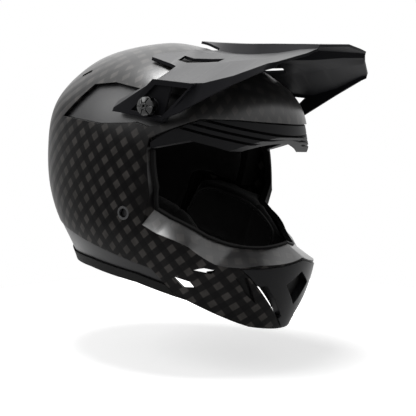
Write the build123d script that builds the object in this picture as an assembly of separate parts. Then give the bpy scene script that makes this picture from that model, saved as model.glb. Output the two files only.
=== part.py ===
from build123d import *
import math
import os

# Downhill full face helmet, standing on its chin bar and its rear rim.
# Millimetres, +Z up. The face looks along -Y and the wearer's right is -X.
# The origin is on the table, under the middle of the helmet.
# Shares below are of half the shell's width in x, its length in y and its height in z.

# Driving sizes of the shell
shell_width = 244.0
shell_length = 308.0
shell_height = 236.0
shell_wall = 3.0
seat_gap = 0.3
overrun = 40.0

# Sizes of the pieces that line the shell
liner_thickness = 24.0
comfort_thickness = 7.0
chin_liner_thickness = 14.0
cheek_pad_face = 66.0
cheek_pad_round = 9.0
neck_roll_thickness = 20.0

# Sizes of the trims and covers
trim_depth = 3.0
trim_width_share = 0.045
shelf_wall_share = 0.055
shelf_clear_share = 0.066
panel_wall = 2.6
panel_recess = 3.4
brow_wall = 11.0
brow_recess = 1.4
brow_slot_height = 2.4
base_recess = 1.6
base_wall = 3.0
rim_height = 9.0
rim_proud = 0.4
rim_depth = 7.0
mask_proud = 1.2
mask_depth = 6.5
mask_border = 5.0
mesh_wall = 1.2
port_radius = 6.4
port_bore = 4.4
port_lip = 1.2
press_clearance = 0.05

# Sizes of the visor and its fastenings
visor_wall = 2.5
visor_floor_inner = 113.0
visor_floor_wall = 2.5
visor_frame_outer = 118.5
running_clearance = 0.05
screw_radius = 3.0
screw_head_radius = 9.0
screw_lobe_radius = 2.6
screw_head_height = 8.0
screw_lobes = 6
screw_thread_depth = 18.0
hub_radius = 8.0
boss_radius = 7.5
boss_length = 14.0

# Sizes of the chin strap and its rings
strap_width = 18.0
strap_thickness = 1.8
strap_clearance = 1.5
ring_wire = 1.5
ring_radius = 12.0
ring_pitch = 4.6
fold_radius = 3.4
bolt_radius = 4.0
bolt_length = 3.2
snap_radius = 6.0
snap_height = 2.2

# Outline of the shell at each level: height, half width, rear, front and widest place
level_shares = [
    (0.000, 0.754, 0.390, -0.370, 0.065),
    (0.127, 0.869, 0.487, -0.383, 0.065),
    (0.254, 0.967, 0.558, -0.380, 0.065),
    (0.424, 1.000, 0.607, -0.351, 0.081),
    (0.593, 0.992, 0.617, -0.299, 0.097),
    (0.742, 0.910, 0.558, -0.244, 0.114),
    (0.847, 0.779, 0.481, -0.208, 0.123),
    (0.911, 0.623, 0.403, -0.162, 0.130),
    (0.962, 0.426, 0.318, -0.065, 0.136),
    (0.990, 0.219, 0.241, 0.045, 0.150),
]
crown_share = 0.160
smallest_level_half = 8.0
shelf_inset_shares = (0.230, 0.230, 0.230, 0.080, 0.041, 0.041, 0.041, 0.041, 0.041, 0.041)

# Side outline of the eyeport at the middle of the helmet, at its corners and at its sides
eyeport_middle_shares = [
    (-0.487, 0.280), (-0.373, 0.310), (-0.299, 0.345), (-0.234, 0.352), (-0.159, 0.360),
    (-0.060, 0.513), (-0.019, 0.593), (0.019, 0.636), (0.039, 0.644), (0.045, 0.653),
    (-0.006, 0.703), (-0.065, 0.767), (-0.146, 0.797), (-0.214, 0.814), (-0.487, 0.847),
]
eyeport_inner_shares = [
    (-0.487, 0.240), (-0.373, 0.255), (-0.299, 0.278), (-0.234, 0.301), (-0.159, 0.354),
    (-0.060, 0.513), (-0.019, 0.593), (0.019, 0.636), (0.039, 0.644), (0.045, 0.653),
    (-0.006, 0.703), (-0.065, 0.767), (-0.146, 0.797), (-0.214, 0.814), (-0.487, 0.847),
]
eyeport_outer_shares = [
    (-0.487, 0.085), (-0.373, 0.102), (-0.299, 0.119), (-0.234, 0.161), (-0.159, 0.243),
    (-0.060, 0.257), (-0.010, 0.280), (-0.013, 0.415), (0.039, 0.593), (0.045, 0.644),
    (-0.006, 0.703), (-0.065, 0.767), (-0.146, 0.797), (-0.214, 0.814), (-0.487, 0.847),
]
eyeport_inner_x_share = 0.451
eyeport_outer_x_share = 1.025
eyeport_centre_shares = (-0.230, 0.550)
shelf_top_share = 0.64
trim_top_share = 0.60

# Side outlines of the covers, the vents and the padding
panel_shares = [
    (0.425, 0.589), (0.338, 0.758), (0.253, 0.797), (0.146, 0.809), (0.016, 0.831),
    (0.016, 0.712), (0.065, 0.682), (0.114, 0.682), (0.136, 0.669), (0.240, 0.627),
]
brow_shares = [
    (0.040, 0.628), (0.032, 0.608), (-0.065, 0.678), (-0.130, 0.678), (-0.162, 0.674),
    (-0.240, 0.780), (-0.221, 0.809), (-0.146, 0.792), (-0.065, 0.763), (-0.006, 0.699),
]
brow_slot_shares = [0.710, 0.735, 0.760]
arch_shares = [(0.325, 0.0), (0.195, 0.030), (0.0, 0.055), (-0.162, 0.051), (-0.325, 0.0)]
seam_share = 0.142
seam_front_shares = [(-0.052, 0.142), (-0.097, 0.093), (-0.155, 0.030)]
mask_shares = [
    (-0.582, 0.242), (0.0, 0.301), (0.582, 0.242), (0.508, 0.216), (0.040, 0.010),
    (-0.040, 0.010), (-0.508, 0.216),
]
mask_slit_shares = [(0.440, 0.182), (0.360, 0.190), (0.105, 0.060), (0.130, 0.048)]
mask_louvre_shares = [(0.0, 0.255), (0.180, 0.200), (0.0, 0.110)]
upper_vent_shares = [(-0.172, 0.189), (-0.208, 0.212), (-0.237, 0.214), (-0.227, 0.195)]
lower_vent_shares = [(-0.120, 0.140), (-0.153, 0.106), (-0.185, 0.119), (-0.172, 0.138)]
intake_shares = [(0.582, 0.201), (0.516, 0.211), (0.377, 0.106), (0.475, 0.140)]
rear_slot_shares = [(0.448, 0.762), (0.410, 0.797), (0.404, 0.790), (0.442, 0.755)]
cheek_shares = [
    (-0.185, 0.290), (-0.155, 0.320), (-0.060, 0.400), (0.020, 0.415), (0.195, 0.415),
    (0.225, 0.250), (0.195, 0.150), (-0.065, 0.150), (-0.170, 0.165),
]
liner_shares = [
    (-0.350, 0.834), (-0.146, 0.808), (-0.065, 0.779), (-0.006, 0.715), (0.055, 0.655),
    (0.070, 0.630), (0.070, 0.424), (0.245, 0.424), (0.245, 0.195), (0.750, 0.195),
    (0.750, 1.100), (-0.350, 1.100),
]
liner_split_share = 0.080
neck_roll_front_share = 0.255
neck_roll_shares = (0.075, 0.190)
chin_liner_rear_share = -0.200
chin_liner_shares = (0.055, 0.250)
port_shares = (0.061, 0.327)

# Visor: sections from the arms' tips to the front edge. Each is its place and the
# outer line from the middle over the spine, deck, ridge and edge to the lower edge.
visor_section_shares = [
    (0.195, (0.0, 1.020), (0.033, 1.019), (0.090, 1.012), (0.393, 0.995), (0.639, 0.928),
     (0.971, 0.710), (0.975, 0.695)),
    (0.114, (0.0, 1.042), (0.066, 1.038), (0.107, 1.012), (0.377, 1.000), (0.656, 0.930),
     (0.967, 0.818), (0.980, 0.712)),
    (0.078, (0.0, 1.053), (0.082, 1.049), (0.123, 1.013), (0.369, 1.000), (0.648, 0.932),
     (0.963, 0.864), (0.980, 0.718)),
    (0.016, (0.0, 1.072), (0.131, 1.066), (0.164, 1.023), (0.369, 1.013), (0.635, 0.960),
     (0.959, 0.883), (0.980, 0.729)),
    (-0.039, (0.0, 1.091), (0.172, 1.083), (0.205, 1.038), (0.369, 1.030), (0.615, 0.987),
     (0.947, 0.898), (0.971, 0.782)),
    (-0.081, (0.0, 1.106), (0.213, 1.097), (0.238, 1.053), (0.369, 1.042), (0.590, 1.013),
     (0.926, 0.915), (0.955, 0.835)),
    (-0.162, (0.0, 1.133), (0.279, 1.123), (0.303, 1.085), (0.385, 1.072), (0.557, 1.051),
     (0.885, 0.975), (0.902, 0.934)),
    (-0.247, (0.0, 1.163), (0.352, 1.150), (0.369, 1.127), (0.410, 1.119), (0.533, 1.097),
     (0.816, 1.057), (0.832, 1.030)),
    (-0.331, (0.0, 1.191), (0.426, 1.174), (0.434, 1.159), (0.459, 1.155), (0.500, 1.144),
     (0.738, 1.112), (0.754, 1.097)),
]
visor_plan_shares = [
    (0.0, 0.175), (0.041, 0.175), (0.107, 0.088), (0.328, 0.094), (0.475, 0.136),
    (0.582, 0.195), (0.631, 0.192), (0.664, 0.091), (0.926, 0.084), (0.926, 0.215),
    (1.100, 0.215), (1.100, -0.227), (0.828, -0.247), (0.795, -0.269), (0.508, -0.300),
    (0.410, -0.312), (0.246, -0.321), (0.0, -0.325),
]
pocket_frame_shares = [(0.160, 0.702), (0.084, 0.869), (-0.060, 0.903), (0.013, 0.722)]
pocket_shares = [(0.130, 0.725), (0.071, 0.850), (-0.045, 0.878), (0.019, 0.742)]
pocket_window_shares = [(0.019, 0.862), (-0.045, 0.878), (0.019, 0.742)]
deck_slot_shares = [(0.500, 0.110), (0.585, 0.110), (0.565, -0.026), (0.480, -0.026)]
pivot_shares = (0.068, 0.763)
strap_share = 0.065
strap_route_shares = [(0.920, 0.345), (0.905, 0.260), (0.826, 0.150), (0.770, 0.118)]
strap_fold_share = 0.385
strap_fold_height_share = 0.118
strap_tail_share = 0.090

half_width = shell_width / 2
pivot_y = pivot_shares[0] * shell_length
pivot_z = pivot_shares[1] * shell_height
liner_outer = shell_wall + seat_gap
liner_inner = liner_outer + liner_thickness
cover_inner = panel_recess + panel_wall


def side_points(shares):
    return [(y * shell_length, z * shell_height) for y, z in shares]


def front_points(shares):
    return [(x * half_width, z * shell_height) for x, z in shares]


def side_sketch(points, x):
    plane = Plane(origin=(x, 0, 0), x_dir=(0, 1, 0), z_dir=(1, 0, 0))
    return plane * Polygon(*points, align=None)


def side_prism(shares, x_from, x_to):
    return extrude(side_sketch(side_points(shares), x_from), amount=x_to - x_from, dir=(1, 0, 0))


def front_prism(shares, y_from, y_to, inset=0):
    plane = Plane(origin=(0, y_from, 0), x_dir=(1, 0, 0), z_dir=(0, -1, 0))
    outline = Polygon(*front_points(shares), align=None)
    if inset:
        outline = offset(outline, amount=-inset)
    return extrude(plane * outline, amount=y_from - y_to, dir=(0, -1, 0))


def plan_prism(points):
    return extrude(Polygon(*points, align=None), amount=2 * shell_height, dir=(0, 0, 1))


def slab(z_from, z_to, y_from=None, y_to=None):
    y_low = -shell_length if y_from is None else y_from
    y_high = shell_length if y_to is None else y_to
    middle = ((z_from + z_to) / 2, (y_low + y_high) / 2)
    block = Box(shell_length, y_high - y_low, z_to - z_from)
    return Pos(0, middle[1], middle[0]) * block


def both_sides(part):
    return part + mirror(part, about=Plane.YZ)


def level_outline(half, rear, front, widest, z):
    rear_arc = EllipticalCenterArc((0, widest), half, rear - widest, start_angle=0, arc_size=180)
    front_arc = EllipticalCenterArc((0, widest), half, widest - front, start_angle=180, arc_size=180)
    return Pos(0, 0, z) * make_face([rear_arc, front_arc])


# The egg-shaped form of the shell, drawn in at each level by that level's inset.
def egg_form(insets):
    top = shell_height - insets[-1]
    levels = []
    for inset, (height, half, rear, front, widest) in zip(insets, level_shares):
        if half * half_width - inset > smallest_level_half:
            levels.append(level_outline(half * half_width - inset, rear * shell_length - inset,
                                        front * shell_length + inset, widest * shell_length,
                                        height * top))
    levels.insert(0, Pos(0, 0, -overrun) * levels[0])
    crown = Vertex(0, crown_share * shell_length, top)
    return loft(levels + [crown])


def egg(inset):
    return egg_form([inset] * len(level_shares))


# The inner edge of the shelf over the cheeks, which narrows towards the temples.
def shelf_form(extra):
    insets = [extra + share * half_width for share in shelf_inset_shares]
    return egg_form(insets)


def wall_between(outer, inner):
    return egg(outer) - egg(inner)


# The space through which the rider looks. Its sides lean out over the cheeks,
# which leaves the upward facing shelf of the chin bar. Grow makes it larger.
def eyeport_space(grow=1.0):
    centre_y, centre_z = eyeport_centre_shares
    sections = []
    for sign, shares, x_share in [
        (-1, eyeport_outer_shares, eyeport_outer_x_share),
        (-1, eyeport_inner_shares, eyeport_inner_x_share),
        (0, eyeport_middle_shares, eyeport_inner_x_share),
        (1, eyeport_inner_shares, eyeport_inner_x_share),
        (1, eyeport_outer_shares, eyeport_outer_x_share),
    ]:
        grown = [(centre_y + (y - centre_y) * grow, centre_z + (z - centre_z) * grow) for y, z in shares]
        sections.append(side_sketch(side_points(grown), sign * x_share * half_width))
    return loft(sections, ruled=True)


def arch_space(lift=0):
    shares = [(y, z + lift) for y, z in arch_shares]
    reach = shell_length
    points = side_points(shares) + [(-reach, lift * shell_height), (-reach, -overrun),
                                    (reach, -overrun), (reach, lift * shell_height)]
    return extrude(side_sketch(points, -shell_width), amount=2 * shell_width, dir=(1, 0, 0))


def base_space(grow=0):
    front = [(y * shell_length - grow, z * shell_height) for y, z in seam_front_shares]
    front[0] = (front[0][0], front[0][1] + grow)
    low_y = front[-1][0]
    points = front + [(low_y, -overrun), (shell_length, -overrun),
                      (shell_length, seam_share * shell_height + grow)]
    return extrude(side_sketch(points, -shell_width), amount=2 * shell_width, dir=(1, 0, 0))


def port_axis(radius, x_from, x_to):
    place = Pos((x_from + x_to) / 2, port_shares[0] * shell_length, port_shares[1] * shell_height)
    return place * Rot(0, 90, 0) * Cylinder(radius, abs(x_to - x_from))


def pivot_axis(radius, x_from, x_to):
    place = Pos((x_from + x_to) / 2, pivot_y, pivot_z)
    return place * Rot(0, 90, 0) * Cylinder(radius, abs(x_to - x_from))


def outer_shell(eyeport, eyeport_grown):
    body = wall_between(0, shell_wall)
    shelf = (egg(0) - shelf_form(0)) & eyeport_grown
    body += shelf & slab(0, shelf_top_share * shell_height)
    body -= eyeport
    body -= arch_space()
    body -= base_space()
    body -= both_sides(side_prism(panel_shares, 0, shell_width))
    body -= front_prism(mask_shares, chin_liner_rear_share * shell_length, -shell_length)
    for shares in (upper_vent_shares, lower_vent_shares):
        body -= side_prism(shares, -shell_width, shell_width)
    body -= both_sides(front_prism(intake_shares, chin_liner_rear_share * shell_length, -shell_length))
    body -= both_sides(side_prism(rear_slot_shares, 0, shell_width))
    body -= port_axis(port_radius, -shell_width, shell_width)
    return body


def impact_liner():
    body = wall_between(liner_outer, liner_inner)
    body &= side_prism(liner_shares, -shell_width, shell_width)
    relief = both_sides(side_prism(panel_shares, 0, shell_width)) - egg(cover_inner + seat_gap)
    body -= relief
    body -= both_sides(side_prism(rear_slot_shares, 0, shell_width))
    body -= pivot_axis(boss_radius + seat_gap, -shell_width, shell_width)
    return body


def chin_liner(eyeport_clear):
    body = wall_between(liner_outer + mask_depth, liner_outer + mask_depth + chin_liner_thickness)
    low, high = (share * shell_height for share in chin_liner_shares)
    body &= slab(low, high, -shell_length, chin_liner_rear_share * shell_length)
    body &= Pos(shell_width / 2, 0, 0) * Box(shell_width, 2 * shell_length, 2 * shell_height)
    body -= eyeport_clear
    body -= front_prism(mask_shares, 0, -shell_length, mask_border)
    for shares in (upper_vent_shares, lower_vent_shares):
        body -= side_prism(shares, -shell_width, shell_width)
    return body


def side_panel():
    outline = side_sketch(side_points(panel_shares), 0)
    prism = extrude(offset(outline, amount=-seat_gap), amount=shell_width, dir=(1, 0, 0))
    body = (egg(panel_recess) - egg(cover_inner)) & prism
    return body - pivot_axis(boss_radius + press_clearance, 0, shell_width)


def brow_insert():
    body = wall_between(brow_recess, brow_recess + brow_wall)
    body &= side_prism(brow_shares, -shell_width, shell_width)
    for share in brow_slot_shares:
        z = share * shell_height
        body -= slab(z, z + brow_slot_height) - egg(brow_recess + brow_wall / 2)
    return body


def eyeport_trim(eyeport_grown, eyeport_small):
    body = shelf_form(0) - shelf_form(trim_depth)
    body &= eyeport_grown
    body -= eyeport_small
    return body & slab(0, trim_top_share * shell_height)


def chin_mask():
    rear = chin_liner_rear_share * shell_length
    body = wall_between(-mask_proud, mask_depth)
    body &= front_prism(mask_shares, rear, -shell_length, seat_gap)
    body -= both_sides(front_prism(mask_slit_shares, rear, -shell_length))
    louvres = both_sides(front_prism(mask_louvre_shares, rear, -shell_length))
    return body - louvres - arch_space()


def chin_filter():
    body = wall_between(mask_depth + seat_gap, mask_depth + seat_gap + mesh_wall)
    body &= front_prism(mask_shares, chin_liner_rear_share * shell_length, -shell_length, mask_border)
    return body


def intake_mesh():
    body = wall_between(shell_wall + seat_gap, shell_wall + seat_gap + mesh_wall)
    rear = chin_liner_rear_share * shell_length
    return body & front_prism(intake_shares, rear, -shell_length, -seat_gap)


def base_panel():
    body = wall_between(base_recess, base_recess + base_wall)
    body &= base_space(-seat_gap)
    body -= arch_space((rim_height + seat_gap) / shell_height)
    return body


def rim_trim():
    body = wall_between(-rim_proud, rim_depth)
    body &= base_space(-seat_gap)
    body &= arch_space(rim_height / shell_height)
    return body - arch_space()


def comfort_wall():
    inner = liner_inner + seat_gap
    body = wall_between(inner, inner + comfort_thickness)
    return body & side_prism(liner_shares, -shell_width, shell_width)


def crown_pad():
    split = liner_split_share * shell_length
    return comfort_wall() & slab(0, 2 * shell_height, split + seat_gap, shell_length)


def brow_pad():
    split = liner_split_share * shell_length
    return comfort_wall() & slab(0, 2 * shell_height, -shell_length, split)


def cheek_pad(eyeport_clear):
    pad = side_prism(cheek_shares, cheek_pad_face, half_width)
    pad = fillet(pad.faces().sort_by(Axis.X)[0].edges(), cheek_pad_round)
    pad &= egg(liner_outer)
    return pad - eyeport_clear - strap_channel()


def neck_roll():
    outer = base_recess + base_wall + seat_gap
    body = wall_between(outer, outer + neck_roll_thickness)
    low, high = (share * shell_height for share in neck_roll_shares)
    return body & slab(low, high, neck_roll_front_share * shell_length, shell_length)


def port_grommet():
    outer = half_width
    bore = port_bore
    body = port_axis(port_radius - press_clearance, bore, outer) & wall_between(0, shell_wall)
    rim = port_axis(port_radius + port_lip, 0, outer) & wall_between(shell_wall, shell_wall + port_lip)
    return body + rim - port_axis(bore, 0, shell_width)


def visor_line(row):
    outer = front_points(row)
    middle, spine, foot, deck, ridge, edge, lower = outer
    wall = visor_wall
    inner = [(lower[0] - wall, lower[1]), (edge[0] - wall, edge[1] - wall),
             (ridge[0] - wall / 2, ridge[1] - wall)]
    inner += [(x, z - wall) for x, z in (deck, foot, spine)]
    right = outer[1:] + inner
    left = [(-x, z) for x, z in reversed(right)]
    return [middle] + right + [(0, middle[1] - wall)] + left


def visor():
    sections = []
    for y_share, *row in visor_section_shares:
        plane = Plane(origin=(0, y_share * shell_length, 0), x_dir=(1, 0, 0), z_dir=(0, -1, 0))
        sections.append(plane * Polygon(*visor_line(row), align=None))
    body = loft(sections, ruled=True)
    outline = [(x * half_width, y * shell_length) for x, y in visor_plan_shares]
    outline += [(-x, y) for x, y in reversed(outline[1:-1])]
    body &= plan_prism(outline)
    slot = [(x * half_width, y * shell_length) for x, y in deck_slot_shares]
    body -= both_sides(plan_prism(slot))
    frame = side_prism(pocket_frame_shares, visor_floor_inner, visor_frame_outer)
    body += both_sides(frame)
    floor_outer = visor_floor_inner + visor_floor_wall
    body -= both_sides(side_prism(pocket_shares, floor_outer, shell_width))
    body += both_sides(pivot_axis(hub_radius, visor_floor_inner, visor_frame_outer))
    body -= both_sides(pivot_axis(screw_head_radius + seat_gap, visor_frame_outer, shell_width))
    body -= both_sides(side_prism(pocket_window_shares, 0, shell_width))
    return body - pivot_axis(screw_radius + running_clearance, -shell_width, shell_width)


def visor_boss():
    outer = visor_floor_inner - seat_gap
    body = pivot_axis(boss_radius, outer - boss_length, outer)
    return body - pivot_axis(screw_radius + running_clearance, 0, shell_width)


def visor_screw():
    seat = visor_frame_outer + seat_gap
    body = pivot_axis(screw_radius, seat - screw_thread_depth, seat)
    head = pivot_axis(screw_head_radius, seat, seat + screw_head_height)
    for index in range(screw_lobes):
        turn = Pos(0, pivot_y, pivot_z) * Rot(360 / screw_lobes * index, 0, 0)
        groove = Pos(seat + screw_head_height / 2, screw_head_radius, 0)
        cutter = Rot(0, 90, 0) * Cylinder(screw_lobe_radius, screw_head_height)
        head -= turn * groove * cutter
    return body + head


def strap_band(points, width):
    # A flat band along a line of points in x and z.
    place = strap_share * shell_length
    plane = Plane(origin=(0, place + width / 2, 0), x_dir=(1, 0, 0), z_dir=(0, -1, 0))
    line = Polyline(*points)
    band = trace(line, strap_thickness)
    return extrude(plane * band, amount=width, dir=(0, -1, 0))


def strap_points():
    return front_points(strap_route_shares)


# The groove in the cheek pad that the strap runs down in.
def strap_channel():
    room = strap_thickness / 2 + strap_clearance
    line = [(x - room, z) for x, z in strap_points()]
    top_x = line[0][0]
    bottom_z = line[-1][1]
    points = [(top_x, shell_height)] + line + [(shell_width, bottom_z), (shell_width, shell_height)]
    width = strap_width + 2 * strap_clearance
    place = strap_share * shell_length + width / 2
    plane = Plane(origin=(0, place, 0), x_dir=(1, 0, 0), z_dir=(0, -1, 0))
    return extrude(plane * Polygon(*points, align=None), amount=width, dir=(0, -1, 0))


def chin_strap_short():
    fold_x = strap_fold_share * half_width
    fold_z = strap_fold_height_share * shell_height
    points = strap_points() + [(fold_x + ring_pitch / 2 + fold_radius / 2, fold_z)]
    body = strap_band(points, strap_width)
    place = strap_share * shell_length
    fold = Box(ring_pitch, strap_width, 2 * fold_radius)
    body += Pos(fold_x, place, fold_z) * fold
    for side in (-1, 1):
        spot = Pos(fold_x + side * ring_pitch / 2, place, fold_z)
        body += spot * Rot(90, 0, 0) * Cylinder(fold_radius, strap_width)
    for side in (-1, 1):
        spot = Pos(fold_x + side * ring_pitch / 2, place, fold_z)
        body -= spot * Rot(90, 0, 0) * Cylinder(ring_wire + running_clearance, shell_width)
    return mirror(body, about=Plane.YZ)


def chin_strap_long():
    end_x = -strap_tail_share * half_width
    fold_z = strap_fold_height_share * shell_height
    low = fold_z - 2 * strap_thickness
    back_x = strap_fold_share * half_width
    points = strap_points() + [(end_x, fold_z), (end_x, low), (back_x, low)]
    return strap_band(points, strap_width)


def strap_ring(side):
    # A D-shaped ring that hangs from its straight bar in the strap's fold.
    fold_x = -strap_fold_share * half_width + side * ring_pitch / 2
    fold_z = strap_fold_height_share * shell_height
    bar = Rot(90, 0, 0) * Cylinder(ring_wire, 2 * ring_radius)
    bow = Rot(0, 90, 0) * Torus(ring_radius, ring_wire)
    bow &= Pos(0, 0, -ring_radius) * Box(4 * ring_wire, 4 * ring_radius, 2 * ring_radius)
    ring = bar + bow
    for end in (-1, 1):
        ring += Pos(0, end * ring_radius, 0) * Sphere(ring_wire)
    return Pos(fold_x, strap_share * shell_length, fold_z) * ring


def strap_bolt():
    inner = strap_route_shares[0][0] * half_width + strap_thickness / 2
    return port_axis(bolt_radius, inner, inner + bolt_length)


def strap_snap():
    x = strap_fold_share * half_width * 0.75
    fold_z = strap_fold_height_share * shell_height
    top = fold_z - 2 * strap_thickness - strap_thickness / 2
    return Pos(x, strap_share * shell_length, top - snap_height / 2) * Cylinder(snap_radius, snap_height)


# Puts the origin under the middle, between the shell's rear and the mask's front.
def centring():
    box = egg(0).bounding_box()
    return Pos(0, -(box.max.Y + box.min.Y - mask_proud) / 2, 0)


def export(name, part):
    placed = centred * part
    export_step(placed, os.path.join("parts", name + ".step"))
    print(name, len(placed.solids()), "solids,", round(placed.volume), "mm3")


def export_pair(name, left_part):
    export(name + "_left", left_part)
    export(name + "_right", mirror(left_part, about=Plane.YZ))


def main():
    os.makedirs("parts", exist_ok=True)
    eyeport = eyeport_space()
    eyeport_small = eyeport_space(1 - trim_width_share)
    eyeport_grown = eyeport_space(1 + shelf_wall_share)
    eyeport_clear = eyeport_space(1 + shelf_clear_share)
    export("outer_shell", outer_shell(eyeport, eyeport_grown))
    export("impact_liner", impact_liner())
    export_pair("chin_liner", chin_liner(eyeport_clear))
    export_pair("side_panel", side_panel())
    export("brow_insert", brow_insert())
    export("eyeport_trim", eyeport_trim(eyeport_grown, eyeport_small))
    export("chin_mask", chin_mask())
    export("chin_filter", chin_filter())
    export_pair("intake_mesh", intake_mesh())
    export("base_panel", base_panel())
    export("rim_trim", rim_trim())
    export("crown_pad", crown_pad())
    export("brow_pad", brow_pad())
    export_pair("cheek_pad", cheek_pad(eyeport_clear))
    export("neck_roll", neck_roll())
    export_pair("port_grommet", port_grommet())
    export("visor", visor())
    export_pair("visor_boss", visor_boss())
    export_pair("visor_screw", visor_screw())
    export("chin_strap_short", chin_strap_short())
    export("chin_strap_long", chin_strap_long())
    export("strap_ring_outer", strap_ring(1))
    export("strap_ring_inner", strap_ring(-1))
    export_pair("strap_bolt", strap_bolt())
    export("strap_snap", strap_snap())


centred = centring()
main()
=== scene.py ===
import bpy
import bmesh
import math
from mathutils import Matrix, Vector
from mathutils.bvhtree import BVHTree


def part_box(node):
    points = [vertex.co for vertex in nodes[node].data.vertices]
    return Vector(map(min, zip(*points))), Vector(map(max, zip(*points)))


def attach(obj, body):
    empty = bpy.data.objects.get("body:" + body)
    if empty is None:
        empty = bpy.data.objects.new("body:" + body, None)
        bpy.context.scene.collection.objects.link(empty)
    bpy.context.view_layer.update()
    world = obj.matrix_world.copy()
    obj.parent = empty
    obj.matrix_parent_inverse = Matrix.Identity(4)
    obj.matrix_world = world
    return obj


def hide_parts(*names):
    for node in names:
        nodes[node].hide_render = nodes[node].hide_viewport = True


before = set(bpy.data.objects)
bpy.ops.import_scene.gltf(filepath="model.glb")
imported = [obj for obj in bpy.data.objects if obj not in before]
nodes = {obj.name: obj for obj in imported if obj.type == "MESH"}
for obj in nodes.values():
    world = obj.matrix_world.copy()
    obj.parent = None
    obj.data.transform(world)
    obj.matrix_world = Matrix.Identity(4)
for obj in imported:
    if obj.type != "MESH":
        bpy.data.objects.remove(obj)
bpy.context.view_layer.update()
print("stage: frame loaded, nodes:", len(nodes))


# Small helpers for building node trees, which spread their nodes on a grid

nodeGrid = {
    "columns": 8,
    "width": 220,
    "height": 240,
}


def link(tree, output, target):
    tree.links.new(output, target)


def addNode(tree, kind, **settings):
    node = tree.nodes.new(kind)
    row, column = divmod(len(tree.nodes), nodeGrid["columns"])
    node.location = (column * nodeGrid["width"], -row * nodeGrid["height"])
    for name, value in settings.items():
        setattr(node, name, value)
    return node


# A number is set on the socket, another node's output is linked to it
def feed(tree, value, socket):
    if isinstance(value, (int, float)):
        socket.default_value = value
    else:
        link(tree, value, socket)


def mathNode(tree, operation, first, second=None, clamp=False):
    node = addNode(tree, "ShaderNodeMath", operation=operation, use_clamp=clamp)
    feed(tree, first, node.inputs[0])
    if second is not None:
        feed(tree, second, node.inputs[1])
    return node.outputs[0]


def mixNumbers(tree, factor, first, second):
    node = addNode(tree, "ShaderNodeMix", data_type="FLOAT")
    for index, value in ((0, factor), (2, first), (3, second)):
        feed(tree, value, node.inputs[index])
    return node.outputs[0]


def mixColors(tree, factor, first, second):
    node = addNode(tree, "ShaderNodeMix", data_type="RGBA")
    for index, value in ((0, factor), (6, first), (7, second)):
        link(tree, value, node.inputs[index])
    return node.outputs[2]


def mapNode(tree, value, span, result=(0.0, 1.0)):
    node = addNode(tree, "ShaderNodeMapRange", interpolation_type="SMOOTHSTEP")
    link(tree, value, node.inputs[0])
    for index, number in enumerate((*span, *result), 1):
        node.inputs[index].default_value = number
    return node.outputs[0]


def noiseNode(tree, place, scale, detail):
    node = addNode(tree, "ShaderNodeTexNoise")
    link(tree, place, node.inputs["Vector"])
    feed(tree, scale, node.inputs["Scale"])
    node.inputs["Detail"].default_value = detail
    return node.outputs[0]


def splitVector(tree, vector):
    node = addNode(tree, "ShaderNodeSeparateXYZ")
    link(tree, vector, node.inputs[0])
    return node.outputs


# Inputs are given with their first values: a number, or a colour of four numbers
def newGroup(name, inputs, outputs):
    tree = bpy.data.node_groups.new(name, "ShaderNodeTree")
    for label, value in inputs.items():
        kind = "Color" if isinstance(value, tuple) else "Float"
        socket = tree.interface.new_socket(label, in_out="INPUT", socket_type="NodeSocket" + kind)
        socket.default_value = value
    for label, kind in outputs.items():
        tree.interface.new_socket(label, in_out="OUTPUT", socket_type="NodeSocket" + kind)
    start = addNode(tree, "NodeGroupInput")
    end = addNode(tree, "NodeGroupOutput")
    return tree, start.outputs, end.inputs


def useGroup(tree, group, **values):
    node = addNode(tree, "ShaderNodeGroup", node_tree=group)
    for name, value in values.items():
        node.inputs[name].default_value = value
    return node.outputs


def newMaterial(name, color, roughness, specular=0.5):
    material = bpy.data.materials.new(name)
    material.use_nodes = True
    tree = material.node_tree
    shader = tree.nodes["Principled BSDF"]
    shader.inputs["Base Color"].default_value = (*color, 1)
    shader.inputs["Roughness"].default_value = roughness
    shader.inputs["Specular IOR Level"].default_value = specular
    material.diffuse_color = (*color, 1)
    return material, tree, shader


# Rounded edges and relief feed the same normal socket
def addRelief(tree, shader, height, strength, distance, edge=None):
    bump = addNode(tree, "ShaderNodeBump")
    bump.inputs["Strength"].default_value = strength
    bump.inputs["Distance"].default_value = distance
    link(tree, height, bump.inputs["Height"])
    if edge:
        bevel = addNode(tree, "ShaderNodeBevel", samples=4)
        bevel.inputs["Radius"].default_value = edge
        link(tree, bevel.outputs[0], bump.inputs["Normal"])
    link(tree, bump.outputs[0], shader.inputs["Normal"])


# Weave of wide carbon tapes. Spans are pairs between which a mask goes from none to full

weaveSettings = {
    "soften": 0.06,                  # border of a tape, in pitches
    "middle": -0.005,                # place along the helmet round which the side pattern turns
    "wrapRadius": 0.135,             # makes metres of the angle round the shell
    "crownSpan": (0.72, 0.80),       # upward share of the normal where the crown's pattern takes over
    "rearPaintedLightSpan": (0.25, 0.75),        # rearward share of the normal where one set of tapes gets painted light
    "behindPort": (-0.040, -0.012),  # the weave dies out beside the eyeport, but not below or above it
    "belowPort": (0.100, 0.078),
    "abovePort": (0.168, 0.186),
    "fibreScale": 90,
    "fibreDetail": 4,
    "fibreSpan": (0.3, 0.7),
    "fibreShade": (0.75, 1.25),
}


# Soft stripes of one coordinate
def stripes(tree, value, pitch, share):
    cell = mathNode(tree, "FRACT", mathNode(tree, "DIVIDE", value, pitch))
    middle = mathNode(tree, "ABSOLUTE", mathNode(tree, "SUBTRACT", cell, 0.5))
    inside = mathNode(tree, "SUBTRACT", mathNode(tree, "MULTIPLY", share, 0.5), middle)
    sharp = mathNode(tree, "DIVIDE", inside, weaveSettings["soften"])
    return mathNode(tree, "ADD", sharp, 0.5, clamp=True)


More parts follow.
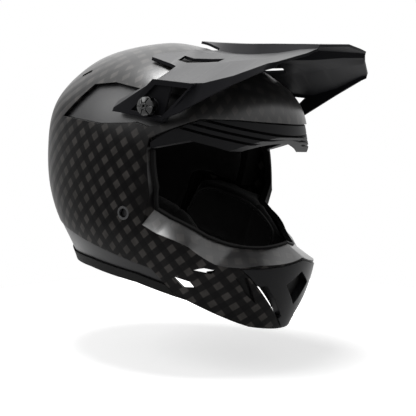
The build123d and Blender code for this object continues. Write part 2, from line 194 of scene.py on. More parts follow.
# Two sets of tapes that cross at a right angle, on a turned pair of coordinates
def crossedTapes(tree, given, first, second):
    cosine = mathNode(tree, "COSINE", given["Turn"])
    sine = mathNode(tree, "SINE", given["Turn"])
    along = mathNode(tree, "SUBTRACT", mathNode(tree, "MULTIPLY", first, cosine),
                     mathNode(tree, "MULTIPLY", second, sine))
    over = mathNode(tree, "ADD", mathNode(tree, "MULTIPLY", first, sine),
                    mathNode(tree, "MULTIPLY", second, cosine))
    return [stripes(tree, value, given["Pitch"], given["Share"]) for value in (along, over)]


def makeWeaveGroup(settings):
    tree, given, result = newGroup(
        "spreadTowWeave",
        {"Pitch": 0.0142, "Share": 0.5, "Turn": math.radians(-38), "Ground": (0.005, 0.005, 0.005, 1.0),
         "Tape": (0.01, 0.01, 0.01, 1.0), "Square": (0.03, 0.03, 0.03, 1.0),
         "RearTape": (0.03, 0.03, 0.03, 1.0)},
        {"Color": "Color", "Height": "Float"})
    coordinates = addNode(tree, "ShaderNodeTexCoord").outputs
    place = coordinates["Object"]
    x, y, z = splitVector(tree, place)
    normal = splitVector(tree, coordinates["Normal"])

    # the side's pattern wraps round the egg, the crown's lies flat on it
    sideways = mathNode(tree, "ABSOLUTE", x)
    angle = mathNode(tree, "ARCTAN2", mathNode(tree, "SUBTRACT", y, settings["middle"]), sideways)
    around = mathNode(tree, "MULTIPLY", angle, settings["wrapRadius"])
    side = crossedTapes(tree, given, around, z)
    crown = crossedTapes(tree, given, sideways, y)
    onCrown = mapNode(tree, normal[2], settings["crownSpan"])
    down, across = [mixNumbers(tree, onCrown, first, second) for first, second in zip(side, crown)]

    shown = mapNode(tree, y, settings["behindPort"])
    for span in (settings["belowPort"], settings["abovePort"]):
        shown = mathNode(tree, "MAXIMUM", shown, mapNode(tree, z, span))
    shownDown = mathNode(tree, "MULTIPLY", down, shown)
    shownAcross = mathNode(tree, "MULTIPLY", across, shown)
    square = mathNode(tree, "MULTIPLY", mathNode(tree, "MULTIPLY", down, across), shown)

    # Painted light: one set of tapes is lighter on surfaces that face the rear
    paintedRearLight = mapNode(tree, normal[1], settings["rearPaintedLightSpan"])
    downPaintedLightColor = mixColors(tree, paintedRearLight, given["Tape"], given["RearTape"])
    color = mixColors(tree, shownAcross, given["Ground"], given["Tape"])
    color = mixColors(tree, shownDown, color, downPaintedLightColor)
    color = mixColors(tree, square, color, given["Square"])

    fibre = noiseNode(tree, place, settings["fibreScale"], settings["fibreDetail"])
    shade = mapNode(tree, fibre, settings["fibreSpan"], settings["fibreShade"])
    shaded = addNode(tree, "ShaderNodeVectorMath", operation="SCALE")
    link(tree, color, shaded.inputs[0])
    link(tree, shade, shaded.inputs["Scale"])
    link(tree, shaded.outputs[0], result["Color"])
    link(tree, mathNode(tree, "ADD", down, across), result["Height"])
    return tree


# Moulded or drawn surfaces: cloudy colour and roughness, fine relief

grainSettings = {
    "cloudScale": 22,
    "cloudDetail": 5,
    "grainDetail": 3,
}


def makeGrainGroup(settings):
    tree, given, result = newGroup(
        "mouldedGrain",
        {"Scale": 900.0, "Dark": (0.008, 0.008, 0.009, 1.0), "Light": (0.016, 0.016, 0.018, 1.0),
         "Low": 0.38, "High": 0.5},
        {"Color": "Color", "Roughness": "Float", "Height": "Float"})
    place = addNode(tree, "ShaderNodeTexCoord").outputs["Object"]
    cloud = noiseNode(tree, place, settings["cloudScale"], settings["cloudDetail"])
    grain = noiseNode(tree, place, given["Scale"], settings["grainDetail"])
    spread = mathNode(tree, "SUBTRACT", given["High"], given["Low"])
    roughness = mathNode(tree, "ADD", given["Low"], mathNode(tree, "MULTIPLY", spread, cloud))
    link(tree, mixColors(tree, cloud, given["Dark"], given["Light"]), result["Color"])
    link(tree, roughness, result["Roughness"])
    link(tree, grain, result["Height"])
    return tree


# Painted sheen: surfaces that look up get more of a clear layer than the sides, so they reflect more, as
# under a light from above

paintedSheenSpan = (0.1, 0.95)  # upward share of the normal


def makePaintedSheenGroup(span):
    tree, given, result = newGroup("paintedUpperSheen", {"Top": 0.5}, {"Weight": "Float"})
    normal = splitVector(tree, addNode(tree, "ShaderNodeTexCoord").outputs["Normal"])
    weight = mathNode(tree, "MULTIPLY", mapNode(tree, normal[2], span), given["Top"])
    link(tree, weight, result["Weight"])
    return tree


# Fabric of small loops with a worn nap

knitSettings = {
    "napScale": 60,
    "napDetail": 2,
}


def makeKnitGroup(settings):
    tree, given, result = newGroup(
        "knittedFabric",
        {"Scale": 1400.0, "Dark": (0.004, 0.004, 0.004, 1.0), "Light": (0.02, 0.02, 0.022, 1.0)},
        {"Color": "Color", "Height": "Float"})
    place = addNode(tree, "ShaderNodeTexCoord").outputs["Object"]
    loops = addNode(tree, "ShaderNodeTexVoronoi")
    link(tree, place, loops.inputs["Vector"])
    link(tree, given["Scale"], loops.inputs["Scale"])
    nap = noiseNode(tree, place, settings["napScale"], settings["napDetail"])
    worn = mathNode(tree, "MULTIPLY", loops.outputs[0], nap)
    link(tree, mixColors(tree, worn, given["Dark"], given["Light"]), result["Color"])
    link(tree, mathNode(tree, "SUBTRACT", 1.0, loops.outputs[0]), result["Height"])
    return tree


weaveGroup = makeWeaveGroup(weaveSettings)
grainGroup = makeGrainGroup(grainSettings)
paintedSheenGroup = makePaintedSheenGroup(paintedSheenSpan)
knitGroup = makeKnitGroup(knitSettings)


# Finishes. Gloss is the sides' reflection; the clear layer on surfaces that look up is a painted sheen,
# standing in for light from above

carbonSettings = {
    "plain": (0.01, 0.01, 0.01),  # colour where no weave is drawn, such as in a plain viewport
    "ground": (0.0030, 0.0028, 0.0030),
    "tape": (0.0062, 0.0058, 0.0058),
    "square": (0.040, 0.037, 0.035),
    # painted light: colour of the tapes on surfaces that face the rear
    "rearPaintedLightTape": (0.046, 0.044, 0.044),
    "pitch": 0.0142,
    "share": 0.50,
    "turn": math.radians(-38),
    "rough": 0.34,
    "gloss": 0.04,
    # painted sheen: weight of the clear layer on surfaces that look up
    "paintedSheenCoat": 0.96,
    "coatIor": 2.0,
    "relief": 0.08,
    "reliefDepth": 0.0002,
    "edge": 0.0012,
}
# The last number of each finish weights the painted sheen on surfaces that look up
plasticSettings = {
    "visorPlastic": {"dark": (0.006, 0.006, 0.007), "light": (0.011, 0.011, 0.013), "rough": (0.40, 0.50),
                     "grain": 1400.0, "relief": 0.10, "gloss": 0.04, "paintedSheenCoat": 0.97},
    "satinPlastic": {"dark": (0.005, 0.005, 0.0055), "light": (0.010, 0.010, 0.011), "rough": (0.30, 0.38),
                     "grain": 1200.0, "relief": 0.06, "gloss": 0.16, "paintedSheenCoat": 0.84},
    "panelPlastic": {"dark": (0.011, 0.011, 0.012), "light": (0.019, 0.019, 0.020), "rough": (0.32, 0.42),
                     "grain": 1200.0, "relief": 0.06, "gloss": 0.30, "paintedSheenCoat": 1.0},
    "maskPlastic": {"dark": (0.003, 0.003, 0.0035), "light": (0.007, 0.007, 0.008), "rough": (0.30, 0.42),
                    "grain": 1100.0, "relief": 0.08, "gloss": 0.08, "paintedSheenCoat": 0.60},
    "browPlastic": {"dark": (0.003, 0.003, 0.0035), "light": (0.006, 0.006, 0.007), "rough": (0.42, 0.52),
                    "grain": 1100.0, "relief": 0.08, "gloss": 0.06, "paintedSheenCoat": 0.22},
    "edgeRubber": {"dark": (0.002, 0.002, 0.002), "light": (0.008, 0.008, 0.008), "rough": (0.60, 0.75),
                   "grain": 500.0, "relief": 0.35, "gloss": 0.08, "paintedSheenCoat": 0.17},
    "foamBlack": {"dark": (0.002, 0.002, 0.002), "light": (0.005, 0.005, 0.005), "rough": (0.80, 0.90),
                  "grain": 260.0, "relief": 0.40, "gloss": 0.03, "paintedSheenCoat": 0},
    "knobPlastic": {"dark": (0.003, 0.003, 0.003), "light": (0.008, 0.008, 0.008), "rough": (0.12, 0.20),
                    "grain": 800.0, "relief": 0.02, "gloss": 0.50, "paintedSheenCoat": 0.50},
    "portPlastic": {"dark": (0.014, 0.014, 0.015), "light": (0.024, 0.024, 0.026), "rough": (0.26, 0.34),
                    "grain": 900.0, "relief": 0.04, "gloss": 0.50, "paintedSheenCoat": 1.0},
    "meshPlastic": {"dark": (0.002, 0.002, 0.002), "light": (0.004, 0.004, 0.004), "rough": (0.50, 0.60),
                    "grain": 700.0, "relief": 0.20, "gloss": 0.06, "paintedSheenCoat": 0.14},
}
plasticCommon = {
    "coatIor": 1.8,
    "reliefDepth": 0.0002,
    "edge": 0.0008,
}
fabricSettings = {
    "padFabric": {"dark": (0.003, 0.003, 0.003), "light": (0.011, 0.0105, 0.011),
                  "loops": 1400.0, "relief": 0.5},
    "seamThread": {"dark": (0.010, 0.010, 0.010), "light": (0.030, 0.030, 0.032),
                   "loops": 2600.0, "relief": 0.6},
    "webbing": {"dark": (0.003, 0.003, 0.003), "light": (0.013, 0.013, 0.014),
                "loops": 1900.0, "relief": 0.6},
}
fabricCommon = {
    "rough": 0.9,
    "gloss": 0.05,
    "fuzz": 0.06,
    "reliefDepth": 0.0004,
}
metalSettings = {
    "ringSteel": {"color": (0.42, 0.42, 0.43), "rough": 0.30},
    "boltSteel": {"color": (0.030, 0.030, 0.031), "rough": 0.42},
    "insertBrass": {"color": (0.11, 0.085, 0.05), "rough": 0.45},
}
metalCommon = {
    "shade": 0.85,            # darkest parts of the grain, as a share of the colour
    "roughShare": (0.8, 1.2),
    "grain": 1500.0,
    "relief": 0.05,
    "reliefDepth": 0.0001,
    "edge": 0.0003,
}


# Painted sheen: the clear layer's weight rises on surfaces that look up
def addPaintedSheenCoat(tree, shader, paintedSheenCoat, roughness, ior):
    if not paintedSheenCoat:
        return
    link(tree, useGroup(tree, paintedSheenGroup, Top=paintedSheenCoat)["Weight"], shader.inputs["Coat Weight"])
    shader.inputs["Coat Roughness"].default_value = roughness
    shader.inputs["Coat IOR"].default_value = ior


def opaque(color):
    return (*color, 1)


def makeCarbon(name, settings):
    material, tree, shader = newMaterial(name, settings["plain"], settings["rough"], settings["gloss"])
    weave = useGroup(tree, weaveGroup, Pitch=settings["pitch"], Share=settings["share"],
                     Turn=settings["turn"], Ground=opaque(settings["ground"]), Tape=opaque(settings["tape"]),
                     Square=opaque(settings["square"]), RearTape=opaque(settings["rearPaintedLightTape"]))
    addPaintedSheenCoat(tree, shader, settings["paintedSheenCoat"], settings["rough"], settings["coatIor"])
    link(tree, weave["Color"], shader.inputs["Base Color"])
    addRelief(tree, shader, weave["Height"], settings["relief"], settings["reliefDepth"],
              settings["edge"])
    return material


# Grain gives colour and roughness, and its height is the relief
def addGrain(tree, shader, dark, light, rough, scale, relief, depth, edge):
    grain = useGroup(tree, grainGroup, Scale=scale, Dark=opaque(dark), Light=opaque(light),
                     Low=rough[0], High=rough[1])
    link(tree, grain["Color"], shader.inputs["Base Color"])
    link(tree, grain["Roughness"], shader.inputs["Roughness"])
    addRelief(tree, shader, grain["Height"], relief, depth, edge)


def makePlastic(name, settings):
    middle = sum(settings["rough"]) / 2
    material, tree, shader = newMaterial(name, settings["light"], middle, settings["gloss"])
    addPaintedSheenCoat(tree, shader, settings["paintedSheenCoat"], middle, plasticCommon["coatIor"])
    addGrain(tree, shader, settings["dark"], settings["light"], settings["rough"], settings["grain"],
             settings["relief"], plasticCommon["reliefDepth"], plasticCommon["edge"])
    return material


def makeFabric(name, settings):
    common = fabricCommon
    material, tree, shader = newMaterial(name, settings["light"], common["rough"], common["gloss"])
    knit = useGroup(tree, knitGroup, Scale=settings["loops"], Dark=opaque(settings["dark"]),
                    Light=opaque(settings["light"]))
    link(tree, knit["Color"], shader.inputs["Base Color"])
    shader.inputs["Sheen Weight"].default_value = common["fuzz"]
    addRelief(tree, shader, knit["Height"], settings["relief"], common["reliefDepth"])
    return material


def makeMetal(name, settings):
    common = metalCommon
    color = settings["color"]
    material, tree, shader = newMaterial(name, color, settings["rough"])
    shader.inputs["Metallic"].default_value = 1.0
    rough = [settings["rough"] * share for share in common["roughShare"]]
    addGrain(tree, shader, [part * common["shade"] for part in color], color, rough, common["grain"],
             common["relief"], common["reliefDepth"], common["edge"])
    return material


finishes = {"carbonShell": makeCarbon("carbonShell", carbonSettings)}
for name, settings in plasticSettings.items():
    finishes[name] = makePlastic(name, settings)
for name, settings in fabricSettings.items():
    finishes[name] = makeFabric(name, settings)
for name, settings in metalSettings.items():
    finishes[name] = makeMetal(name, settings)


# Stage: CAD nodes. They keep their points, and their borders are smoothed where the angle is small

def pair(name):
    return [name + "_left", name + "_right"]


finishOf = {
    "carbonShell": ["outer_shell"],
    "foamBlack": ["impact_liner", *pair("chin_liner")],
    "panelPlastic": pair("side_panel"),
    "browPlastic": ["brow_insert"],
    "maskPlastic": ["chin_mask"],
    "satinPlastic": ["base_panel"],
    "edgeRubber": ["eyeport_trim", "rim_trim"],
    "portPlastic": pair("port_grommet"),
    "meshPlastic": ["chin_filter", *pair("intake_mesh")],
    "padFabric": ["crown_pad", "brow_pad", "neck_roll", *pair("cheek_pad")],
    "visorPlastic": ["visor"],
    "knobPlastic": pair("visor_screw"),
    "insertBrass": pair("visor_boss"),
    "webbing": ["chin_strap_short", "chin_strap_long"],
    "ringSteel": ["strap_ring_outer", "strap_ring_inner", "strap_snap"],
    "boltSteel": pair("strap_bolt"),
}
nodeSmooth = {
    "weld": 0.00002,
    "angle": math.radians(27),
}


def smoothPiece(piece, angle):
    for polygon in piece.data.polygons:
        polygon.use_smooth = True
    weld = piece.modifiers.new("weld", "WELD")
    weld.merge_threshold = nodeSmooth["weld"]
    split = piece.modifiers.new("split", "EDGE_SPLIT")
    split.split_angle = angle


def setFinish(piece, finish):
    piece.data.materials.clear()
    piece.data.materials.append(finishes[finish])


for finish, names in finishOf.items():
    for name in names:
        setFinish(nodes[name], finish)
        smoothPiece(nodes[name], nodeSmooth["angle"])
print("stage: CAD nodes dressed")


# Helpers for meshes

def newPiece(name, data, finish):
    piece = bpy.data.objects.new(name, data)
    bpy.context.scene.collection.objects.link(piece)
    setFinish(piece, finish)
    for polygon in piece.data.polygons:
        polygon.use_smooth = True
    return piece


def pieceFromMesh(name, mesh, finish):
    data = bpy.data.meshes.new(name)
    mesh.to_mesh(data)
    mesh.free()
    return newPiece(name, data, finish)


# Faces between two closed rings of the same count
def bridgeRings(mesh, first, second):
    for index in range(len(first)):
        following = (index + 1) % len(first)
        mesh.faces.new((first[index], first[following], second[following], second[index]))


# A round cord or thread along a line
def tubeAlong(mesh, points, radius, closed=True, sides=6):
    rings = []
    count = len(points)
    for index, point in enumerate(points):
        after = points[(index + 1) % count] if closed or index + 1 < count else point
        before = points[index - 1] if closed or index > 0 else point
        turn = (after - before).normalized().to_track_quat("Z", "Y").to_matrix()
        ring = []
        for side in range(sides):
            angle = 2 * math.pi * side / sides
            offset = turn @ Vector((math.cos(angle) * radius, math.sin(angle) * radius, 0))
            ring.append(mesh.verts.new(point + offset))
        rings.append(ring)
    for index in range(count if closed else count - 1):
        bridgeRings(mesh, rings[index], rings[(index + 1) % count])
    if not closed:
        mesh.faces.new(list(reversed(rings[0])))
        mesh.faces.new(rings[-1])


# Stage: cushions. Each starts from its CAD solid's form, is puffed as cloth, then sewn

padSettings = {
    "crownPad": {"node": "crown_pad", "voxel": 0.0038, "shrink": 0.0006, "pressure": 2.5, "cap": 0.0016,
                 "fill": 0.5, "channels": [(0, 0.022), (0, 0.058), (1, 0.020), (1, 0.080)], "depth": 0.0016},
    "browPad": {"node": "brow_pad", "voxel": 0.0036, "shrink": 0.0006, "pressure": 2.5, "cap": 0.0016,
                "fill": 0.5, "channels": [(0, 0.030), (0, 0.066)], "depth": 0.0014},
    "neckRoll": {"node": "neck_roll", "voxel": 0.0045, "shrink": 0.0016, "pressure": 4.0, "cap": 0.0026,
                 "fill": 0.7, "channels": [(0, 0.030), (0, 0.070)], "depth": 0.0022},
}
for side in ("Left", "Right"):
    padSettings["cheekPad" + side] = {
        "node": "cheek_pad_" + side.lower(), "voxel": 0.0045, "shrink": 0.0024, "pressure": 4.0,
        "cap": 0.0032, "fill": 0.7, "channels": [(1, -0.048)], "depth": 0.0024}
sewing = {
    "weld": 0.00005,
    "evenFactor": 0.5,
    "evenRounds": 3,
    "clothQuality": 4,
    "clothFrames": 20,
    "channelWidth": 0.0026,
}


def applyModifiers(piece):
    graph = bpy.context.evaluated_depsgraph_get()
    data = bpy.data.meshes.new_from_object(piece.evaluated_get(graph))
    piece.modifiers.clear()
    piece.data = data


def remeshPiece(piece, voxel, shrink):
    weld = piece.modifiers.new("weld", "WELD")
    weld.merge_threshold = sewing["weld"]
    remesh = piece.modifiers.new("remesh", "REMESH")
    remesh.mode = "VOXEL"
    remesh.voxel_size = voxel
    smooth = piece.modifiers.new("smooth", "SMOOTH")
    smooth.factor, smooth.iterations = sewing["evenFactor"], sewing["evenRounds"]
    applyModifiers(piece)
    points = [point.co - point.normal * shrink for point in piece.data.vertices]
    for vertex, place in zip(piece.data.vertices, points):
        vertex.co = place


# Pressure swells the cover, and no point moves further than the cap
def puffPiece(piece, pressure, cap):
    scene = bpy.context.scene
    start = [vertex.co.copy() for vertex in piece.data.vertices]
    cloth = piece.modifiers.new("cloth", "CLOTH")
    cloth.settings.use_pressure = True
    cloth.settings.uniform_pressure_force = pressure
    cloth.settings.effector_weights.gravity = 0
    cloth.settings.quality = sewing["clothQuality"]
    for number in range(1, sewing["clothFrames"] + 1):
        scene.frame_set(number)
    graph = bpy.context.evaluated_depsgraph_get()
    moved = [vertex.co.copy() for vertex in piece.evaluated_get(graph).data.vertices]
    piece.modifiers.clear()
    for vertex, first, last in zip(piece.data.vertices, start, moved):
        step = last - first
        if step.length > cap:
            step = step.normalized() * cap
        vertex.co = first + step
    scene.frame_set(1)


def refinePiece(piece):
    subdivide = piece.modifiers.new("subdivide", "SUBSURF")
    subdivide.levels = subdivide.render_levels = 1
    applyModifiers(piece)
    for polygon in piece.data.polygons:
        polygon.use_smooth = True


# Sewn channels draw the cover in along lines, each given by an axis and its place on it
def sewChannels(piece, channels, depth):
    places = [(vertex.co.copy(), vertex.normal.copy()) for vertex in piece.data.vertices]
    for vertex, (point, normal) in zip(piece.data.vertices, places):
        pull = 0
        for axis, place in channels:
            value = abs(point.x) if axis == 0 else point[axis]
            pull = max(pull, math.exp(-((value - place) / sewing["channelWidth"]) ** 2))
        vertex.co = point - normal * depth * pull
    piece.data.update()


def makePad(name, settings):
    pad = newPiece(name, nodes[settings["node"]].data.copy(), "padFabric")
    remeshPiece(pad, settings["voxel"], settings["shrink"])
    puffPiece(pad, settings["pressure"], settings["cap"])
    refinePiece(pad)
    sewChannels(pad, settings["channels"], settings["depth"])
    setFinish(pad, "padFabric")
    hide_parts(settings["node"])
    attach(pad, "shell")
    return pad


# Seams of the cheek pads: a cord on the cover with a row of stitches inside it

seamSettings = {
    "x": 0.070,
    "corners": [(-0.082, 0.072), (-0.050, 0.089), (-0.030, 0.092), (0.018, 0.092), (0.027, 0.060),
                (0.018, 0.042), (-0.052, 0.042), (-0.080, 0.046)],
    "cord": 0.0011,
    "cordStep": 0.003,
    "cordRise": 0.00033,
    "stitchPitch": 0.00544,
    "stitchShare": 0.6,
    "stitchInset": 0.00286,
    "stitchRise": 0.00011,
    "thread": 0.00033,
}


def surfaceOf(piece):
    mesh = bmesh.new()
    mesh.from_mesh(piece.data)
    tree = BVHTree.FromBMesh(mesh)
    mesh.free()
    return tree


# Corner cutting rounds the line, then it is divided evenly
def denseLoop(corners, step, rounds=2):
    line = [Vector(corner) for corner in corners]
    for turn in range(rounds):
        cut = []
        for index, point in enumerate(line):
            following = line[(index + 1) % len(line)]
            cut += [point.lerp(following, 0.25), point.lerp(following, 0.75)]
        line = cut
    points = []
    for index, point in enumerate(line):
        following = line[(index + 1) % len(line)]
        parts = max(1, round((following - point).length / step))
        points += [point.lerp(following, part / parts) for part in range(parts)]
    return points


def laidOn(tree, points, rise):
    laid = []
    for point in points:
        place, normal, index, distance = tree.find_nearest(point)
        laid.append(place + normal * rise)
    return laid


def makeSeam(name, tree, side, settings):
    corners = [(side * settings["x"], y, z) for y, z in settings["corners"]]
    mesh = bmesh.new()
    line = laidOn(tree, denseLoop(corners, settings["cordStep"]), settings["cordRise"])
    tubeAlong(mesh, line, settings["cord"])
    cord = pieceFromMesh(name, mesh, "edgeRubber")

    mesh = bmesh.new()
    beside = denseLoop(corners, settings["stitchPitch"])
    middle = sum(beside, Vector()) / len(beside)
    moved = [point + (middle - point).normalized() * settings["stitchInset"] for point in beside]
    for index, first in enumerate(moved):
        last = moved[(index + 1) % len(moved)]
        ends = laidOn(tree, [first, first.lerp(last, settings["stitchShare"])], settings["stitchRise"])
        tubeAlong(mesh, ends, settings["thread"], closed=False, sides=5)
    stitches = pieceFromMesh(name + "Stitches", mesh, "seamThread")
    for piece in (cord, stitches):
        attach(piece, "shell")


for name, settings in padSettings.items():
    pad = makePad(name, settings)
    if name.startswith("cheek"):
        makeSeam(name + "Seam", surfaceOf(pad), 1 if name.endswith("Left") else -1, seamSettings)
print("stage: cushions made")


# Stage: webbing of the chin strap, on the CAD's route. A route's point is a distance from the
# middle of the helmet and a height

strapSettings = {
    "width": 0.018,
    "thickness": 0.0018,
    "y": -0.015874,
    "ribs": 9,
    "ribDepth": 0.00014,
    "edgeShare": 0.55,       # thickness of the woven edges, as a share of the band's
    "run": 0.02785,          # height of the stretch that crosses under the chin
    "lap": 0.0036,           # fall from that stretch to the end that is folded back under it
    "ringFold": 0.0470,      # distance of the loop that holds the rings
}
run, lap, fold = strapSettings["run"], strapSettings["lap"], strapSettings["ringFold"]
strapUpper = [(0.11224, 0.08142), (0.11141, 0.0714), (0.11041, 0.06136), (0.10559, 0.0484),
              (0.10077, 0.0354), (0.0974, 0.0316), (0.09394, run), (0.080, run)]
longRoute = strapUpper + [(x, run) for x in (0.050, 0.020, -0.0085)]
longRoute += [(-0.01085, run - 0.0006), (-0.01105, run - 0.00185), (-0.01085, run - 0.0030)]
longRoute += [(x, run - lap) for x in (-0.0085, 0.010, 0.030, fold)]
shortRoute = strapUpper + [(fold + along, run + rise) for along, rise in (
    (0.0065, 0), (0.0046, 0.00175), (0.0023, 0.0033), (-0.0023, 0.0033), (-0.0052, 0.00175), (-0.0058, 0),
    (-0.0052, -0.00175), (-0.0023, -0.0033), (0.0023, -0.0033), (0.0046, -0.00175), (0.0075, -0.00125))]
boxStitch = {
    "ends": (0.058, 0.074),
    "reach": 0.36,           # half its width, as a share of the webbing's
    "height": 0.02885,
    "pitch": 0.0030,
    "sewn": (0.15, 0.80),    # stretch of each pitch that the thread covers
    "thread": 0.00032,
}


def bandSection(settings):
    half, thick = settings["width"] / 2, settings["thickness"] / 2
    count = settings["ribs"] * 2
    upper = []
    for index in range(count + 1):
        across = -half + settings["width"] * index / count
        ripple = settings["ribDepth"] if index % 2 else 0
        edge = settings["edgeShare"] if index in (0, count) else 1.0
        upper.append((across, (thick - ripple) * edge))
    return upper + [(across, -rise) for across, rise in reversed(upper)]


def makeBand(name, route, side, node):
    points = [Vector((side * x, strapSettings["y"], z)) for x, z in route]
    section = bandSection(strapSettings)
    sideways = Vector((0, 1, 0))
    mesh = bmesh.new()
    rings = []
    for index, point in enumerate(points):
        after = points[min(index + 1, len(points) - 1)]
        before = points[max(index - 1, 0)]
        rise = (after - before).normalized().cross(sideways).normalized()
        rings.append([mesh.verts.new(point + sideways * across + rise * up) for across, up in section])
    for first, second in zip(rings, rings[1:]):
        bridgeRings(mesh, first, second)
    mesh.faces.new(rings[0])
    mesh.faces.new(list(reversed(rings[-1])))
    bmesh.ops.recalc_face_normals(mesh, faces=mesh.faces)
    band = pieceFromMesh(name, mesh, "webbing")
    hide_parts(node)
    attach(band, "shell")


# A sewn box with a cross, as on load-bearing webbing
def makeBoxStitch(name, side, settings):
    first, last = settings["ends"]
    reach = strapSettings["width"] * settings["reach"]
    corners = [(first, -reach), (last, -reach), (last, reach), (first, reach), (first, -reach),
               (last, reach), (last, -reach), (first, reach)]
    points = [Vector((side * x, strapSettings["y"] + across, settings["height"])) for x, across in corners]
    mesh = bmesh.new()
    for start, end in zip(points, points[1:]):
        count = max(2, int((end - start).length / settings["pitch"]))
        for index in range(count):
            ends = [start.lerp(end, (index + share) / count) for share in settings["sewn"]]
            tubeAlong(mesh, ends, settings["thread"], closed=False, sides=5)
    stitches = pieceFromMesh(name, mesh, "seamThread")
    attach(stitches, "shell")


makeBand("strapLong", longRoute, 1, "chin_strap_long")
makeBand("strapShort", shortRoute, -1, "chin_strap_short")
makeBoxStitch("strapShortStitches", -1, boxStitch)
makeBoxStitch("strapLongStitches", 1, boxStitch)
print("stage: straps made")


# Stage: faces of the thumb screws, domed and cut by radial slots round a hexagon socket

knobSettings = {
    "rim": 0.0086,
    "hub": 0.0034,
    "socket": 0.0014,
    "slots": 6,
    "slotTurn": 0.2,         # turn of the slots, in shares of a sector
    "slotWidth": 0.0013,
    "hubGap": 0.4,           # gap round the hub, as a share of a slot's width
    "edge": 0.0005,
    "crown": 0.0024,
    "sunk": 0.0004,
    "smooth": math.radians(40),
}


# One sector of the dome, with walls down to the head
def addSector(mesh, place, inner, outer, middle, reach, rounds=6, turns=8):
    rows = []
    for step in range(rounds + 1):
        radius = inner + (outer - inner) * step / rounds
        half = reach(radius)
        rows.append([(radius, middle + half * (turn * 2 / turns - 1)) for turn in range(turns + 1)])
    top = [[mesh.verts.new(place(radius, angle, True)) for radius, angle in row] for row in rows]
    for first, second in zip(top, top[1:]):
        for turn in range(turns):
            mesh.faces.new((first[turn], first[turn + 1], second[turn + 1], second[turn]))
    border = [(0, turn) for turn in range(turns)] + [(step, turns) for step in range(rounds)]
    border += [(rounds, turn) for turn in range(turns, 0, -1)]
    border += [(step, 0) for step in range(rounds, 0, -1)]
    rim = [top[step][turn] for step, turn in border]
    foot = [mesh.verts.new(place(*rows[step][turn], False)) for step, turn in border]
    bridgeRings(mesh, rim, foot)
    mesh.faces.new(foot)


# A ring of the dome round a hexagon socket
def addHub(mesh, place, socket, outer, rounds=4, turns=24):
    rings = []
    for turn in range(turns):
        angle = 2 * math.pi * turn / turns
        inner = socket / math.cos(angle % (math.pi / 3) - math.pi / 6)
        radii = [inner + (outer - inner) * step / rounds for step in range(rounds + 1)]
        profile = [(inner, False)] + [(radius, True) for radius in radii] + [(outer, False)]
        rings.append([mesh.verts.new(place(radius, angle, raised)) for radius, raised in profile])
    for turn, ring in enumerate(rings):
        bridgeRings(mesh, ring, rings[(turn + 1) % turns])


def makeKnobFace(name, node, body, side):
    settings = knobSettings
    lowest, highest = (Vector(corner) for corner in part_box(node))
    centre = (lowest + highest) / 2
    face = highest.x if side > 0 else lowest.x
    rim, hub, slot = settings["rim"], settings["hub"], settings["slotWidth"]
    share = 2 * math.pi / settings["slots"]

    def place(radius, angle, raised):
        dome = settings["edge"] + settings["crown"] * (1 - (radius / rim) ** 2)
        height = dome if raised else -settings["sunk"]
        return Vector((face + side * height, centre.y + radius * math.cos(angle),
                       centre.z + radius * math.sin(angle)))

    def reach(radius):
        return share / 2 - slot / 2 / radius

    mesh = bmesh.new()
    for index in range(settings["slots"]):
        addSector(mesh, place, hub, rim, (index + settings["slotTurn"]) * share, reach)
    addHub(mesh, place, settings["socket"], hub - slot * settings["hubGap"])
    bmesh.ops.recalc_face_normals(mesh, faces=mesh.faces)
    knob = pieceFromMesh(name, mesh, "knobPlastic")
    smoothPiece(knob, settings["smooth"])
    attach(knob, body)


makeKnobFace("screwFaceLeft", "visor_screw_left", "screw_left", 1)
makeKnobFace("screwFaceRight", "visor_screw_right", "screw_right", -1)
print("stage: screw faces made")


# Stage: camera, floor, world, lamps

viewSettings = {
    "centre": Vector((0.0, -0.035894, 0.0846)),
    "azimuth": math.radians(-150.7242),
    "elevation": math.radians(10.8643),
    "roll": math.radians(15.2598),
    "distance": 1.4,
    "frameWidth": 0.416,     # width of the picture at the centre
    "sensor": 36.0,
    "clip": (0.01, 20),
}
floorSettings = {
    "below": 0.150,
    "radius": 0.42,
    "tip": math.radians(8.6),
    "sides": 96,
    "color": (0.9, 0.9, 0.9),
    "rough": 0.9,
    "gloss": 0.1,
    "glow": 0.62,
}
worldLevel = 0.22
lampSettings = {
    "keyLamp": {"place": (-0.15, 0.30, 1.25), "size": 0.7, "power": 19.0},
    "rearLamp": {"place": (-0.8, 1.0, 0.55), "size": 0.8, "power": 5.0},
}
lampAim = Vector((0, 0, 0.12))


def viewAxes(settings):
    azimuth, elevation, roll = settings["azimuth"], settings["elevation"], settings["roll"]
    back = Vector((math.cos(elevation) * math.cos(azimuth), math.cos(elevation) * math.sin(azimuth),
                   math.sin(elevation)))
    level = Vector((-math.sin(azimuth), math.cos(azimuth), 0))
    upright = back.cross(level)
    right = level * math.cos(roll) + upright * math.sin(roll)
    up = upright * math.cos(roll) - level * math.sin(roll)
    return right, up, back


def makeCamera(settings):
    data = bpy.data.cameras.new("camera")
    data.sensor_width = settings["sensor"]
    data.lens = settings["sensor"] * settings["distance"] / settings["frameWidth"]
    data.clip_start, data.clip_end = settings["clip"]
    camera = bpy.data.objects.new("camera", data)
    bpy.context.scene.collection.objects.link(camera)
    right, up, back = viewAxes(settings)
    turn = Matrix((right, up, back)).transposed().to_4x4()
    camera.matrix_world = Matrix.Translation(settings["centre"] + back * settings["distance"]) @ turn
    bpy.context.scene.camera = camera


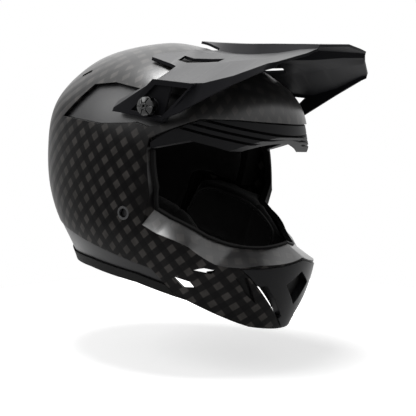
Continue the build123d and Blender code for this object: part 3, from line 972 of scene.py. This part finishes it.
# Eyes, gloss and glass see the pale backdrop, other rays see the plain light level
def seenRays(tree):
    rays = addNode(tree, "ShaderNodeLightPath").outputs
    mirrored = mathNode(tree, "MAXIMUM", rays["Is Glossy Ray"], rays["Is Transmission Ray"])
    return mathNode(tree, "MAXIMUM", rays["Is Camera Ray"], mirrored)


def makeFloor(settings):
    right, up, back = viewAxes(viewSettings)
    normal = (up * math.cos(settings["tip"]) + back * math.sin(settings["tip"])).normalized()
    centre = viewSettings["centre"] - up * settings["below"]
    mesh = bmesh.new()
    bmesh.ops.create_circle(mesh, cap_ends=True, segments=settings["sides"], radius=settings["radius"])
    data = bpy.data.meshes.new("floor")
    mesh.to_mesh(data)
    mesh.free()
    floor = bpy.data.objects.new("floor", data)
    bpy.context.scene.collection.objects.link(floor)
    floor.matrix_world = Matrix.Translation(centre) @ normal.to_track_quat("Z", "Y").to_matrix().to_4x4()
    material, tree, shader = newMaterial("floorPaper", settings["color"], settings["rough"],
                                         settings["gloss"])
    glow = mathNode(tree, "MULTIPLY", seenRays(tree), settings["glow"])
    shader.inputs["Emission Color"].default_value = (1, 1, 1, 1)
    link(tree, glow, shader.inputs["Emission Strength"])
    data.materials.append(material)


def makeWorld(level):
    world = bpy.data.worlds.new("studio")
    bpy.context.scene.world = world
    world.use_nodes = True
    tree = world.node_tree
    background = tree.nodes["Background"]
    link(tree, mixNumbers(tree, seenRays(tree), level, 1.0), background.inputs["Strength"])
    background.inputs["Color"].default_value = (1, 1, 1, 1)


def makeLamp(name, settings):
    data = bpy.data.lights.new(name, "AREA")
    data.shape = "DISK"
    data.size = settings["size"]
    data.energy = settings["power"]
    lamp = bpy.data.objects.new(name, data)
    bpy.context.scene.collection.objects.link(lamp)
    lamp.location = settings["place"]
    lamp.rotation_mode = "QUATERNION"
    lamp.rotation_quaternion = (lampAim - Vector(settings["place"])).to_track_quat("-Z", "Y")


makeCamera(viewSettings)
makeFloor(floorSettings)
makeWorld(worldLevel)
for name, settings in lampSettings.items():
    makeLamp(name, settings)
bpy.context.scene.view_settings.view_transform = "Standard"
print("stage: camera, floor, world and lamps made")
